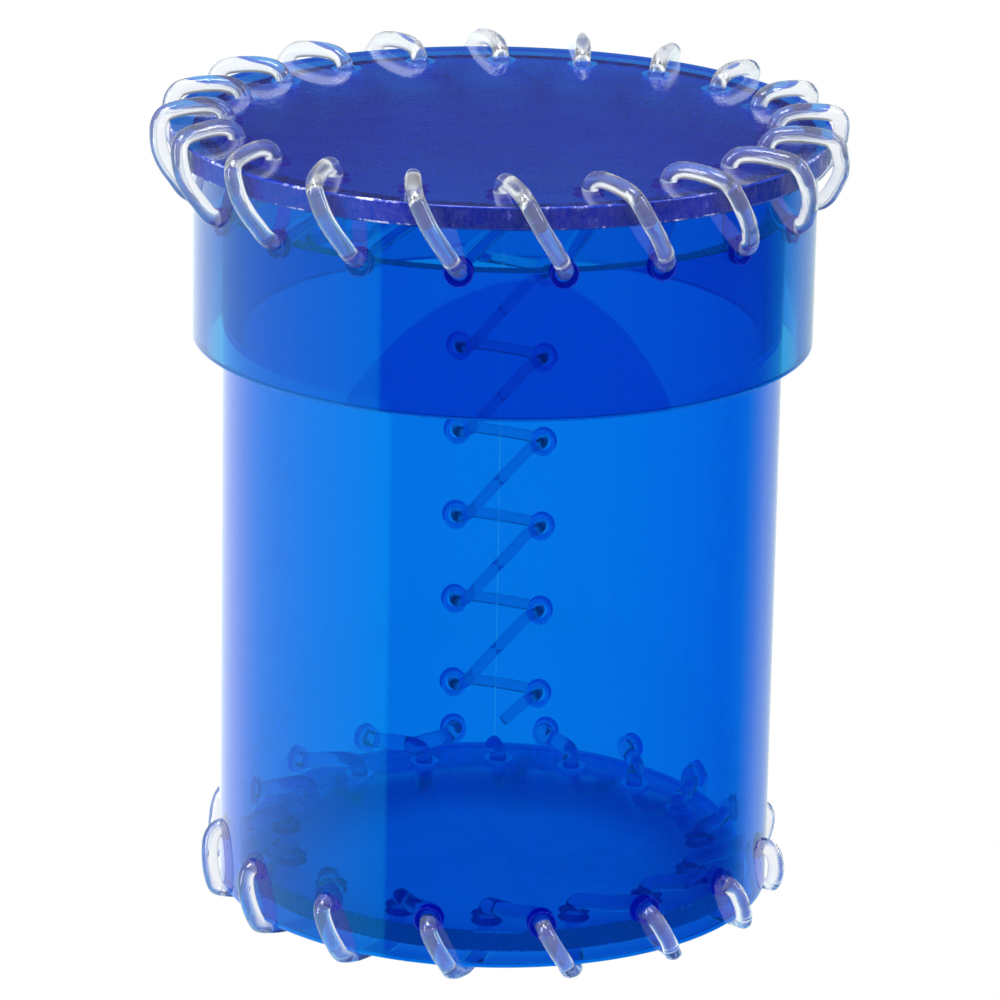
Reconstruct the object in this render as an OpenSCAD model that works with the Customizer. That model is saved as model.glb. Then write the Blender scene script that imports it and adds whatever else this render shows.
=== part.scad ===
// Laced dice cup with a lift-off lid.
// Sheet pieces are rolled or cut flat, punched, and whipped together with round cord.
// Origin: on the cup's axis, in the plane that the cup stands on. +Z is up, the seam is at +Y.

/* [Cup] */
// Outer diameter of the cup wall
cup_d = 80; // [70:1:90]
// Height of the cup wall, from its bottom edge to the mouth
cup_h = 101.5; // [90:0.1:120]
// Thickness of the cup wall sheet
wall_t = 2.8; // [2.4:0.1:3.2]
// Thickness of the base disc
base_t = 3.2; // [2.8:0.1:3.6]
// Height of the middle of the base disc's underside above the wall's bottom edge
base_up = 2.5; // [2.4:0.1:3]
// Rise of the base disc and its row of holes, from their middle to their highest side
base_rise = 1.1; // [0:0.1:1.1]

/* [Lid] */
// Gap between the cup wall and the lid band, which clears the seam lace
lid_gap = 2.1; // [2.1:0.1:2.6]
// Thickness of the lid band sheet
band_t = 2.2; // [1.8:0.1:2.4]
// Height of the lid band
band_h = 27.5; // [26:0.5:32]
// How far the disc's edge stands out past the band
disc_lip = 2.7; // [2.4:0.1:3]
// Thickness of the lid disc
disc_t = 3.3; // [2.8:0.1:3.4]
// Distance that the disc sits off centre on the band, towards -X
disc_shift = 0.7; // [0:0.1:0.8]
// Height of the disc's underside above the cup's mouth
lid_head = 7.5; // [7.4:0.1:9]

/* [Lacing] */
// Diameter of the punched holes
punch_d = 3.8; // [3.6:0.1:4.2]
// Diameter of the whipping cord round the base and the lid
cord_d = 2.4; // [2:0.1:2.4]
// Diameter of the thinner cord in the two seams
seam_cord_d = 1.7; // [1.4:0.1:1.7]
// Number of stitches round the base
base_stitches = 16; // [14:1:18]
// Number of stitches round the lid
lid_stitches = 20; // [18:1:20]
// Number of hole pairs in the cup's seam
cup_seam_pairs = 7; // [4:1:7]

/* [Hidden] */

sheet_blue = [0.02, 0.36, 0.86, 0.7];
edge_blue = [0.1, 0.25, 0.72, 0.8];
cord_clear = [0.86, 0.89, 0.94, 0.9];

round_fn = 160;
punch_fn = 32;
cord_sides = 8;
seam_slit = 0.4;
slip = 0.05;

// Bearings are degrees from the front (-Y), turning towards +X.
front = -90;
cup_seam_at = 180;
lid_seam_at = 216;
cup_seam_half = 10;
lid_seam_half = 9.3;
base_first = 10.1;
disc_first = 0.3;
band_first = 10.4;
// Hand-punched rows run slightly wide at the front and close at the back.
base_drift = 2;
band_drift = 2.4;
// The base disc and its row of holes sit lowest at this bearing.
base_lowest = 20;

// Heights. The cord that passes under the wall carries the cup. It is pressed flat there, to this
// share of its thickness.
cord_r = cord_d / 2;
press = 0.58;
flat_r = cord_r * cos(180 / cord_sides);
cord_rest = flat_r * press;
wall_z = 2 * cord_rest + 0.2;
base_z = wall_z + base_up;
base_top = base_z + base_t;
mouth_z = wall_z + cup_h;
disc_z = mouth_z + lid_head;
disc_top = disc_z + disc_t;
band_z = disc_z - band_h;
base_hole_z = wall_z + 7.4;
band_hole_z = disc_z - 6.8;

// Radii
wall_r = cup_d / 2;
wall_in = wall_r - wall_t;
base_r = wall_in - 0.2;
base_hole_r = wall_in - 6.7;
band_in = wall_r + lid_gap;
band_r = band_in + band_t;
disc_r = band_r + disc_lip;
disc_hole_r = band_in - 3.6;
base_tilt = atan(base_rise / wall_r);

// Seam rows
cup_seam_low = 15.9;
cup_seam_top = 5.8;
cup_seam_z = wall_z + cup_seam_low;
cup_seam_pitch = (cup_h - cup_seam_low - cup_seam_top) / (cup_seam_pairs - 1);
lid_seam_pairs = 2;
lid_seam_pitch = 9;
lid_seam_z = band_z + 5.4;
seam_drop = 1.6;
// How far from its hole a seam cord bends over, how far it leans to the seam's side of the hole in
// degrees, and how deep it is already in the hole there
seam_bend = 1.3;
seam_aside = 0.3;
seam_dip = 0.5;

function unit(v) = v / norm(v);
function drifted(a, drift) = a + drift * sin(a);
function polar(r, a, z) = [r * cos(a + front), r * sin(a + front), z];
function base_bearing(k) = drifted(base_first + k * 360 / base_stitches, base_drift);
function disc_bearing(k) = disc_first + k * 360 / lid_stitches;
function band_bearing(k) = drifted(band_first + k * 360 / lid_stitches, band_drift);

// Rise of the tilted base plane at a place on the cup
function base_lift(r, bearing) = -base_rise * r / wall_r * cos(bearing - base_lowest);

// One ring of a cord: a regular polygon square to direction t, with one flat facing up. A pressed
// ring is thinner across that direction, and a little wider along it.
function ring(centre, t, up, r, pressed) =
    let (n = unit(up - (up * t) * t), b = cross(t, n), wide = 1 + 0.3 * (1 - pressed))
    [for (i = [0 : cord_sides - 1])
        let (a = (i + 0.5) * 360 / cord_sides)
        centre + r * (wide * cos(a) * n + pressed * sin(a) * b)];

// A solid cord along a path of points. ups holds one reference direction for each point, and
// pressing holds what share of its thickness the cord keeps there.
module cord(path, ups, r, pressing = []) {
    last = len(path) - 1;
    legs = [for (i = [0 : last - 1]) unit(path[i + 1] - path[i])];
    rings = [for (i = [0 : last])
        ring(path[i], unit(legs[max(i - 1, 0)] + legs[min(i, last - 1)]), ups[i], r,
             pressing == [] ? 1 : pressing[i])];
    sides = [for (i = [0 : last - 1], j = [0 : cord_sides - 1])
        let (k = (j + 1) % cord_sides, a = i * cord_sides, b = a + cord_sides)
        each [[a + j, b + k, a + k], [a + j, b + j, b + k]]];
    first_cap = [for (j = [0 : cord_sides - 1]) j];
    last_cap = [for (j = [cord_sides - 1 : -1 : 0]) last * cord_sides + j];
    polyhedron([for (q = rings) each q], concat(sides, [first_cap, last_cap]));
}

// Radial hole through a rolled sheet
module side_punch(bearing, z, r_in, r_out) {
    translate(polar(r_in - 2, bearing, z))
        rotate([0, 90, bearing + front])
            cylinder(h = r_out - r_in + 4, d = punch_d, $fn = punch_fn);
}

// Rolled sheet with its two edges butted at the seam
module rolled_sheet(r_out, t, h, seam_at) {
    difference() {
        cylinder(h = h, r = r_out, $fn = round_fn);
        translate([0, 0, -1])
            cylinder(h = h + 2, r = r_out - t, $fn = round_fn);
        rotate([0, 0, seam_at + front])
            translate([r_out - t - 1, -seam_slit / 2, -1])
                cube([t + 2, seam_slit, h + 2]);
    }
}

// The two columns of holes beside a seam; the second column sits a little lower.
module seam_punches(at, half, z, pitch, pairs, r_in, r_out) {
    for (k = [0 : pairs - 1]) {
        side_punch(at + half, z + k * pitch, r_in, r_out);
        side_punch(at - half, z + k * pitch - seam_drop, r_in, r_out);
    }
}

module cup_wall() {
    color(sheet_blue)
        difference() {
            translate([0, 0, wall_z])
                rolled_sheet(wall_r, wall_t, cup_h, cup_seam_at);
            for (k = [0 : base_stitches - 1])
                side_punch(base_bearing(k), base_hole_z + base_lift(wall_r, base_bearing(k)),
                           wall_in, wall_r);
            seam_punches(cup_seam_at, cup_seam_half, cup_seam_z, cup_seam_pitch,
                         cup_seam_pairs, wall_in, wall_r);
        }
}

module cup_base() {
    color(edge_blue)
        translate([0, 0, base_z])
            rotate([0, 0, base_lowest])
                rotate([base_tilt, 0, 0])
                    difference() {
                        cylinder(h = base_t, r = base_r, $fn = round_fn);
                        for (k = [0 : base_stitches - 1])
                            translate(polar(base_hole_r, base_bearing(k + 0.5) - base_lowest, -1))
                                cylinder(h = base_t + 2, d = punch_d, $fn = punch_fn);
                    }
}

module lid_band() {
    color(sheet_blue)
        difference() {
            translate([0, 0, band_z])
                rolled_sheet(band_r, band_t, band_h, lid_seam_at);
            for (k = [0 : lid_stitches - 1])
                side_punch(band_bearing(k), band_hole_z, band_in, band_r);
            seam_punches(lid_seam_at, lid_seam_half, lid_seam_z, lid_seam_pitch,
                         lid_seam_pairs, band_in, band_r);
        }
}

module lid_disc() {
    color(edge_blue)
        translate([-disc_shift, 0, 0])
            difference() {
                translate([0, 0, disc_z])
                    cylinder(h = disc_t, r = disc_r, $fn = round_fn);
                for (k = [0 : lid_stitches - 1])
                    translate(polar(disc_hole_r, disc_bearing(k), disc_z - 1))
                        cylinder(h = disc_t + 2, d = punch_d, $fn = punch_fn);
            }
}

// Part of a pitch at which a lace's last stitch ends, clear of its own start
last_end = 0.8;

// Base stitch, each point as [radius, height, part of a pitch, share of the base's lift, share of
// thickness kept]: out of the wall's hole, down the outside, under the edge, up through the base
// disc, and inside to the next hole of the wall.
base_stitch = [
    [wall_in - 0.3, base_hole_z + 0.3, 0, 1, 1],
    [wall_r - 0.6, base_hole_z + 0.1, 0, 1, 1],
    [wall_r + 0.6, base_hole_z - 0.3, 0.01, 1, 1],
    [wall_r + 1.4, base_hole_z - 1.3, 0.03, 0.8, 1],
    [wall_r + 1.7, base_hole_z - 2.7, 0.07, 0.6, 1],
    [wall_r + 1.75, wall_z + 2.9, 0.12, 0.3, 1],
    [wall_r + 1.6, wall_z + 1.3, 0.17, 0, 0.95],
    [wall_r + 1.25, wall_z, 0.21, 0, 0.8],
    [wall_r + 0.8, cord_rest + 0.18, 0.25, 0, 0.62],
    [wall_r - 0.5, cord_rest + 0.01, 0.287, 0, press],
    [wall_r - 1, cord_rest, 0.302, 0, press],
    [wall_in - 0.8, cord_rest, 0.34, 0, press],
    [wall_in - 1.4, cord_rest + 0.01, 0.356, 0, press],
    [wall_in - 2.8, flat_r * 0.75 + 0.04, 0.4, 0, 0.75],
    [base_hole_r + 1.7, flat_r + 0.12, 0.45, 0, 1],
    [base_hole_r + 0.3, base_z - 1.5, 0.48, 0.8, 1],
    [base_hole_r, base_z + 0.4, 0.5, 1, 1],
    [base_hole_r, base_top + 0.5, 0.5, 1, 1],
    [base_hole_r + 0.4, base_top + 1.3, 0.52, 1, 1],
    [base_hole_r + 1.6, base_top + 1.75, 0.58, 1, 1],
    [wall_in - 2.6, base_top + 1.8, 0.8, 1, 1],
    [wall_in - 1.6, base_hole_z + 0.3, 0.95, 1, 1]];
// Start of the base lace, lying on the base disc beside its first hole
base_tail = [
    [wall_in - 3.9, base_top + 1.3, 0.62, 1, 1],
    [wall_in - 3.4, base_top + 1.3, 0.48, 1, 1],
    [wall_in - 2.6, base_top + 1.4, 0.3, 1, 1],
    [wall_in - 1.9, base_top + 1.6, 0.12, 1, 1]];
// Stitch at which the base lace starts and ends, next to the cup's seam
base_start = 8;

module base_lace() {
    route = concat(
        [for (p = base_tail) [p[0], p[1], base_start + p[2], p[3], p[4]]],
        [for (k = [0 : base_stitches - 1], p = base_stitch)
            if (k < base_stitches - 1 || p[2] < last_end)
                [p[0], p[1], base_start + k + p[2], p[3], p[4]]]);
    color(cord_clear)
        cord([for (p = route) let (b = base_bearing(p[2]))
                polar(p[0], b, p[1] + p[3] * base_lift(p[0], b))],
             [for (p = route) polar(1, base_bearing(p[2]) + 90, 0)],
             cord_r,
             [for (p = route) p[4]]);
}

// Lid stitch, each point as [radius, height, part of a pitch, share of the band's bearing]:
// up through the disc, over its edge, in through the band, and inside up to the next hole.
lid_stitch = [
    [disc_hole_r, disc_z - 0.9, 0, 0],
    [disc_hole_r + 0.1, disc_top - 0.4, 0, 0],
    [disc_hole_r + 0.5, disc_top + 0.7, 0.01, 0],
    [disc_hole_r + 1.4, disc_top + 1.6, 0.03, 0],
    [disc_hole_r + 3, disc_top + 2, 0.07, 0],
    [disc_r - 3.4, disc_top + 2, 0.12, 0],
    [disc_r - 1.3, disc_top + 1.75, 0.17, 0],
    [disc_r + 0.5, disc_top + 1.25, 0.215, 0],
    [disc_r + 1.35, disc_top + 0.15, 0.26, 0],
    [disc_r + 1.55, disc_top - 1.3, 0.31, 0.05],
    [disc_r + 1.5, disc_z + 0.4, 0.36, 0.15],
    [disc_r + 1.2, disc_z - 1, 0.41, 0.3],
    [disc_r + 0.5, disc_z - 2.6, 0.46, 0.5],
    [band_r + 2.2, band_hole_z + 2.6, 0.505, 0.8],
    [band_r + 1.4, band_hole_z + 1.3, 0.54, 0.95],
    [band_r + 0.3, band_hole_z + 0.45, 0.56, 1],
    [band_in + 0.6, band_hole_z + 0.3, 0.565, 1],
    [band_in - 0.7, band_hole_z + 0.6, 0.57, 1],
    [band_in - 1.7, band_hole_z + 1.6, 0.61, 1],
    [band_in - 2.3, band_hole_z + 3.2, 0.75, 0.6],
    [disc_hole_r + 0.6, disc_z - 2.2, 0.9, 0.2]];
// Start of the lid lace, lying under the disc beside its first hole
lid_tail = [
    [disc_hole_r - 5.5, disc_z - 1.5, -0.2, 0],
    [disc_hole_r - 2.6, disc_z - 1.6, -0.1, 0],
    [disc_hole_r - 0.8, disc_z - 1.5, -0.02, 0]];
// Stitch at which the lid lace starts and ends, next to the lid band's seam
lid_start = 11;

// Bearing of a point of the lid lace: band holes drift from the even row of disc holes.
function lid_bearing(u, share) =
    disc_bearing(u) + share * band_drift * sin(disc_bearing(u));
// Place of a point of the lid lace: the disc's share of it follows the disc's shift.
function lid_place(p) =
    polar(p[0], lid_bearing(p[2], p[3]), p[1]) - [(1 - p[3]) * disc_shift, 0, 0];

module lid_rim_lace() {
    route = concat(
        [for (p = lid_tail) [p[0], p[1], lid_start + p[2], p[3]]],
        [for (k = [0 : lid_stitches - 1], p = lid_stitch)
            if (k < lid_stitches - 1 || p[2] < last_end)
                [p[0], p[1], lid_start + k + p[2], p[3]]]);
    color(cord_clear)
        cord([for (p = route) lid_place(p)],
             [for (p = route) polar(1, lid_bearing(p[2], p[3]) + 90, 0)],
             cord_r);
}

// Zigzag lace of a seam. Each pair of holes takes a crossing pass outside the sheet, and a
// slanting pass inside leads to the pair below. Points are [radius, bearing, height].
module seam_lace(at, half, z, pitch, pairs, r_in, r_out) {
    r = seam_cord_d / 2;
    out = r_out + slip + r;
    inn = r_in - slip - r;
    edge = half - seam_bend / out * 180 / PI;
    hole = half - seam_aside;
    slant = pitch - seam_drop;
    top = z + (pairs - 1) * pitch;
    tail_top = [[inn, at + half * 0.35, top + slant * 0.3],
                [inn, at + edge, top + 0.4]];
    loops = [for (k = [pairs - 1 : -1 : 0])
        let (zl = z + k * pitch, zr = zl - seam_drop)
        each concat(
            [[inn + seam_dip, at + hole, zl],
             [out - seam_dip, at + hole, zl]],
            [for (s = [1, 0.5, 0, -0.5, -1]) [out, at + s * edge, zl - seam_drop * (1 - s) / 2]],
            [[out - seam_dip, at - hole, zr],
             [inn + seam_dip, at - hole, zr]],
            k > 0 ? [for (s = [-0.9, -0.45, 0, 0.45, 0.9])
                [inn, at + s * edge, zr - slant * (1 + s) / 2]] : [])];
    tail_end = [[inn, at - edge, z - seam_drop - 0.3],
                [inn, at - edge * 0.25, z - seam_drop - 4]];
    route = concat(tail_top, loops, tail_end);
    color(cord_clear)
        cord([for (p = route) polar(p[0], p[1], p[2])],
             [for (p = route) [0, 0, 1]],
             r);
}

module cup_seam_lace() {
    seam_lace(cup_seam_at, cup_seam_half, cup_seam_z, cup_seam_pitch,
              cup_seam_pairs, wall_in, wall_r);
}

module lid_seam_lace() {
    seam_lace(lid_seam_at, lid_seam_half, lid_seam_z, lid_seam_pitch,
              lid_seam_pairs, band_in, band_r);
}

cup_wall();
cup_base();
cup_seam_lace();
base_lace();
lid_band();
lid_disc();
lid_rim_lace();
lid_seam_lace();
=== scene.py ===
"""Looks of a laced dice cup with a lift-off lid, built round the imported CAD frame.

Every piece of sheet is cut flat with its punched holes, its edges are rounded, and it is then rolled
or laid in place. The cords are smooth tubes along the same routes as the CAD cords.
Lengths are metres. Bearings are degrees from the front (-Y), turning towards +X.
"""

import math

import bpy
import numpy as np
from mathutils import Matrix, Vector, noise
from mathutils.geometry import delaunay_2d_cdt


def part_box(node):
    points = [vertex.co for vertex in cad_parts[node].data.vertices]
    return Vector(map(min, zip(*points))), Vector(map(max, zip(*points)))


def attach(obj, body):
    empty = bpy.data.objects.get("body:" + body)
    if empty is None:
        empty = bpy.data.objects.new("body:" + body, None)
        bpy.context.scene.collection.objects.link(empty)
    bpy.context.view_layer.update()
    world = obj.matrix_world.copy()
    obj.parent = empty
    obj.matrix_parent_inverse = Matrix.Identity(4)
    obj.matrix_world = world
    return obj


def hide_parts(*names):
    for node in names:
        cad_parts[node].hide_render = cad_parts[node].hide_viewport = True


MM = 0.001

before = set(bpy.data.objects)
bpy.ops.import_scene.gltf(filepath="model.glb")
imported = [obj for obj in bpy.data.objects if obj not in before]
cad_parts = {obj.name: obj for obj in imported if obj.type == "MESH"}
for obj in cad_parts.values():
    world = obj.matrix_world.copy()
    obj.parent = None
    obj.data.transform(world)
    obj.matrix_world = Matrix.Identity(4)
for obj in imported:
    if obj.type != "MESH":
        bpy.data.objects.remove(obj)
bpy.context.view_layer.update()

# ---------------------------------------------------------------- sizes from the frame
WALL_LOW, WALL_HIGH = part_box("cup_wall")
BAND_LOW, BAND_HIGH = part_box("lid_band")
DISC_LOW, DISC_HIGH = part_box("lid_disc")

WALL_R = WALL_HIGH.x
WALL_Z = WALL_LOW.z
WALL_H = WALL_HIGH.z - WALL_LOW.z
BAND_R = BAND_HIGH.x
BAND_Z = BAND_LOW.z
BAND_H = BAND_HIGH.z - BAND_LOW.z
DISC_R = (DISC_HIGH.x - DISC_LOW.x) / 2
DISC_X = (DISC_HIGH.x + DISC_LOW.x) / 2
DISC_Z = DISC_LOW.z
DISC_TOP = DISC_HIGH.z

# ---------------------------------------------------------------- sizes of the design
# Sheets: thickness, inside radius, and the rounding of their cut edges
WALL_T = 2.8 * MM
BAND_T = 2.2 * MM
BASE_T = 3.2 * MM
WALL_IN = WALL_R - WALL_T
BAND_IN = BAND_R - BAND_T
STRIP_BEVEL = 0.14 * MM
DISC_BEVEL = 0.3 * MM
SEAM_GAP = 0.06 * MM

# Holes: radius at the sheet's faces, and how much narrower they are half way through it
PUNCH_R = 1.9 * MM
PUNCH_WAIST = 0.65 * MM

# Cords: radius, and the space between a seam's cord and its sheet
CORD_R = 1.2 * MM
SEAM_CORD_R = 0.85 * MM
SLIP = 0.05 * MM

# Rows of stitches: number, bearing of the first hole, and drift of the hand-punched row, in degrees
BASE_STITCHES = 16
LID_STITCHES = 20
BASE_FIRST = 10.1
DISC_FIRST = 0.3
BAND_FIRST = 10.4
BASE_DRIFT = 2
BAND_DRIFT = 2.4

# The base disc: it is tilted, by BASE_RISE at the cup's outside, and lowest at the bearing BASE_LOWEST
BASE_R = WALL_IN - 0.2 * MM
BASE_Z = WALL_Z + 2.5 * MM
BASE_TOP = BASE_Z + BASE_T
BASE_RISE = 1.1 * MM
BASE_LOWEST = 20

# Places of the holes
BASE_HOLE_Z = WALL_Z + 7.4 * MM
BASE_HOLE_R = WALL_IN - 6.7 * MM
BAND_HOLE_Z = DISC_Z - 6.8 * MM
DISC_HOLE_R = BAND_IN - 3.6 * MM

# Height of the base cord's middle where the standing cup presses it flat
PRESS = 0.58
CORD_REST = CORD_R * PRESS


class Seam:
    """Two columns of holes beside a butted joint. The second column sits a little lower. at is the
    joint's bearing, half the columns' distance from it in degrees, and z the lowest hole's height."""

    def __init__(self, at, half, z, pitch, pairs, r_in, r_out):
        self.at = at
        self.half = half
        self.z = z
        self.pitch = pitch
        self.pairs = pairs
        self.r_in = r_in
        self.r_out = r_out
        self.drop = 1.6 * MM

    def holes(self):
        """(bearing, height) of every hole."""
        rows = [self.z + k * self.pitch for k in range(self.pairs)]
        left = [(self.at + self.half, z) for z in rows]
        right = [(self.at - self.half, z - self.drop) for z in rows]
        return left + right


CUP_SEAM = Seam(180, 10, WALL_Z + 15.9 * MM, 13.3 * MM, 7, WALL_IN, WALL_R)
LID_SEAM = Seam(216, 9.3, BAND_Z + 5.4 * MM, 9 * MM, 2, BAND_IN, BAND_R)


# ---------------------------------------------------------------- bearings and places
def polar(radius, bearing, height):
    """The place at a distance from the cup's axis, a bearing and a height."""
    turn = math.radians(bearing - 90)
    return Vector((radius * math.cos(turn), radius * math.sin(turn), height))


def drifted(bearing, drift):
    """Hand-punched rows run slightly wide at the front and close at the back."""
    return bearing + drift * math.sin(math.radians(bearing))


def base_bearing(k):
    return drifted(BASE_FIRST + k * 360 / BASE_STITCHES, BASE_DRIFT)


def base_lift(radius, bearing):
    """Rise of the tilted base plane at a place on the cup."""
    return -BASE_RISE * radius / WALL_R * math.cos(math.radians(bearing - BASE_LOWEST))


def disc_bearing(k):
    return DISC_FIRST + k * 360 / LID_STITCHES


def band_bearing(k):
    return drifted(BAND_FIRST + k * 360 / LID_STITCHES, BAND_DRIFT)


# ---------------------------------------------------------------- sheet meshes
# Regions of a sheet: its outer face, its inner face, the flat of its cut edge, the rims of its punched
# holes, and the two scraped corners of the cut edge.
FACE, UNDERSIDE, EDGE, RIM, BEVEL = range(5)


def punched_loop(centre, radius, sides=40):
    """Loop round a hole: points, and the direction at each point that leads into the void."""
    loop = []
    for i in range(sides):
        turn = -2 * math.pi * i / sides
        out = Vector((math.cos(turn), math.sin(turn)))
        loop.append((centre + radius * out, -out))
    return loop


def strip_loop(width, height, step):
    """Loop round a rectangle that is centred on u = 0 and stands on v = 0."""
    across = max(2, round(width / step))
    upward = max(2, round(height / step))
    left, right = -width / 2, width / 2
    loop = [(Vector((left, 0)), Vector((-1, -1)))]
    loop += [(Vector((left + width * i / across, 0)), Vector((0, -1))) for i in range(1, across)]
    loop += [(Vector((right, 0)), Vector((1, -1)))]
    loop += [(Vector((right, height * i / upward)), Vector((1, 0))) for i in range(1, upward)]
    loop += [(Vector((right, height)), Vector((1, 1)))]
    loop += [(Vector((right - width * i / across, height)), Vector((0, 1))) for i in range(1, across)]
    loop += [(Vector((left, height)), Vector((-1, 1)))]
    loop += [(Vector((left, height * (1 - i / upward))), Vector((-1, 0))) for i in range(1, upward)]
    return loop


def round_loop(radius, sides=480):
    """Loop round a disc that is centred on the origin."""
    loop = []
    for i in range(sides):
        turn = 2 * math.pi * i / sides
        out = Vector((math.cos(turn), math.sin(turn)))
        loop.append((radius * out, out))
    return loop


def inset(loop, amount):
    """The loop, moved away from the void."""
    return [(point - amount * out, out) for point, out in loop]


def edge_profile(thickness, bevel, arcs=4):
    """Rings from the top face's edge to the underside's: (offset into the void, depth, tilt)."""
    rings = []
    for i in range(arcs + 1):
        tilt = math.pi / 2 * i / arcs
        rings.append((bevel * math.sin(tilt), bevel * (1 - math.cos(tilt)), tilt))
    rings.append((bevel, thickness / 2, math.pi / 2))
    for i in range(arcs + 1):
        tilt = math.pi / 2 * (1 + i / arcs)
        rings.append((bevel * math.sin(tilt), thickness - bevel * (1 + math.cos(tilt)), tilt))
    return rings


# Kind of triangulation: what lies inside the outline, without the holes
INSIDE_WITH_HOLES = 2
SAME_POINT = 1e-9


def flat_mesh(outline, holes, fill, clearance):
    """Triangles between the outline and the holes, with the fill points that are clear of both."""
    loops = [outline] + holes
    points = []
    edges = []
    for loop in loops:
        first = len(points)
        points += [point for point, _ in loop]
        edges += [(first + i, first + (i + 1) % len(loop)) for i in range(len(loop))]
    fixed = np.array([tuple(p) for p in points])
    for candidate in fill:
        gap = np.sqrt(((fixed - np.array(tuple(candidate))) ** 2).sum(1)).min()
        if gap > clearance:
            points.append(candidate)
    found = delaunay_2d_cdt(points, edges, [], INSIDE_WITH_HOLES, SAME_POINT)
    verts, faces, origin = found[0], found[2], found[3]
    place_of = {source: i for i, sources in enumerate(origin) for source in sources}
    starts = np.cumsum([0] + [len(loop) for loop in loops])
    rims = [[place_of[starts[n] + i] for i in range(len(loop))] for n, loop in enumerate(loops)]
    return verts, faces, rims


def sheet_object(name, outline, holes, fill, thickness, bevel, place, wobble=None):
    """A cut sheet with rounded edges. place(u, v, depth) puts a point of the flat sheet in the frame;
    wobble(point, depth) is how far a rough-cut outline stands out there."""
    outline = inset(outline, bevel)
    holes = [inset(hole, bevel) for hole in holes]
    clearance = 0.45 * MM
    verts, faces, rims = flat_mesh(outline, holes, fill, clearance)
    # Each spot is (u, v, depth, direction into the void, tilt of the surface)
    top = [(v.x, v.y, 0.0, Vector((0, 0)), 0.0) for v in verts]
    under = [(v.x, v.y, thickness, Vector((0, 0)), math.pi) for v in verts]
    spots = top + under
    count = len(verts)
    polygons = [tuple(face) for face in faces]
    polygons += [tuple(count + i for i in reversed(face)) for face in faces]
    regions = [FACE] * len(faces) + [UNDERSIDE] * len(faces)
    profile = edge_profile(thickness, bevel)
    for number, (loop, rim) in enumerate(zip([outline] + holes, rims)):
        rows = []
        for ring, (offset, depth, tilt) in enumerate(profile):
            if ring == 0:
                rows.append(rim)
                continue
            if ring == len(profile) - 1:
                rows.append([count + i for i in rim])
                continue
            first = len(spots)
            for point, out in loop:
                shift = offset
                if wobble and number == 0:
                    shift += wobble(point, depth)
                if number > 0:
                    shift += PUNCH_WAIST * math.sin(math.pi * depth / thickness)
                spot = point + shift * out
                spots.append((spot.x, spot.y, depth, out.normalized(), tilt))
            rows.append(list(range(first, first + len(loop))))
        middle = len(rows) // 2
        for ring, (upper, lower) in enumerate(zip(rows, rows[1:])):
            outer_region = EDGE if ring in (middle - 1, middle) else BEVEL
            for i in range(len(loop)):
                j = (i + 1) % len(loop)
                polygons.append((upper[i], lower[i], lower[j], upper[j]))
                regions.append(outer_region if number == 0 else RIM)
    places = [place(u, v, depth) for u, v, depth, _, _ in spots]
    normals = [facing(place, *spot) for spot in spots]
    return mesh_object(name, places, polygons, normals, regions)


def facing(place, u, v, depth, out, tilt):
    """Direction that the sheet's surface faces at a spot, from the way the sheet is laid."""
    reach = 0.01 * MM
    aside = reach * math.sin(tilt) * out
    here = place(u, v, depth)
    there = place(u + aside.x, v + aside.y, depth - reach * math.cos(tilt))
    return (there - here).normalized()


def mesh_object(name, places, polygons, normals=None, regions=None):
    """A smooth-shaded object in the scene. Each polygon keeps the number of its region."""
    mesh = bpy.data.meshes.new(name)
    mesh.from_pydata([tuple(p) for p in places], [], polygons)
    mesh.polygons.foreach_set("use_smooth", [True] * len(mesh.polygons))
    if regions:
        marks = mesh.attributes.new("region", "FLOAT", "FACE")
        marks.data.foreach_set("value", [float(region) for region in regions])
    mesh.update()
    if normals:
        mesh.normals_split_custom_set_from_vertices([tuple(n) for n in normals])
    piece = bpy.data.objects.new(name, mesh)
    bpy.context.scene.collection.objects.link(piece)
    return piece


def grid(width, height, across, upward):
    """Fill points of a strip, short of its edges."""
    us = [width * (i / across - 0.5) for i in range(1, across)]
    vs = [height * j / upward for j in range(1, upward)]
    return [Vector((u, v)) for u in us for v in vs]


def rolled_sheet(name, radius, thickness, low, height, seam, punches):
    """A strip rolled to a tube, its two ends butted at the seam."""
    width = 2 * math.pi * radius - SEAM_GAP
    opposite = seam.at - 180
    step = 1.4 * MM
    upward_step = 3 * MM

    def place(u, v, depth):
        return polar(radius - depth, opposite + math.degrees(u / radius), low + v)

    def flat(bearing, z):
        turn = (bearing - opposite + 180) % 360 - 180
        return Vector((radius * math.radians(turn), z - low))

    holes = [punched_loop(flat(bearing, z), PUNCH_R) for bearing, z in punches]
    fill = grid(width, height, round(width / step), round(height / upward_step))
    outline = strip_loop(width, height, step)
    return sheet_object(name, outline, holes, fill, thickness, STRIP_BEVEL, place)


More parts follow.
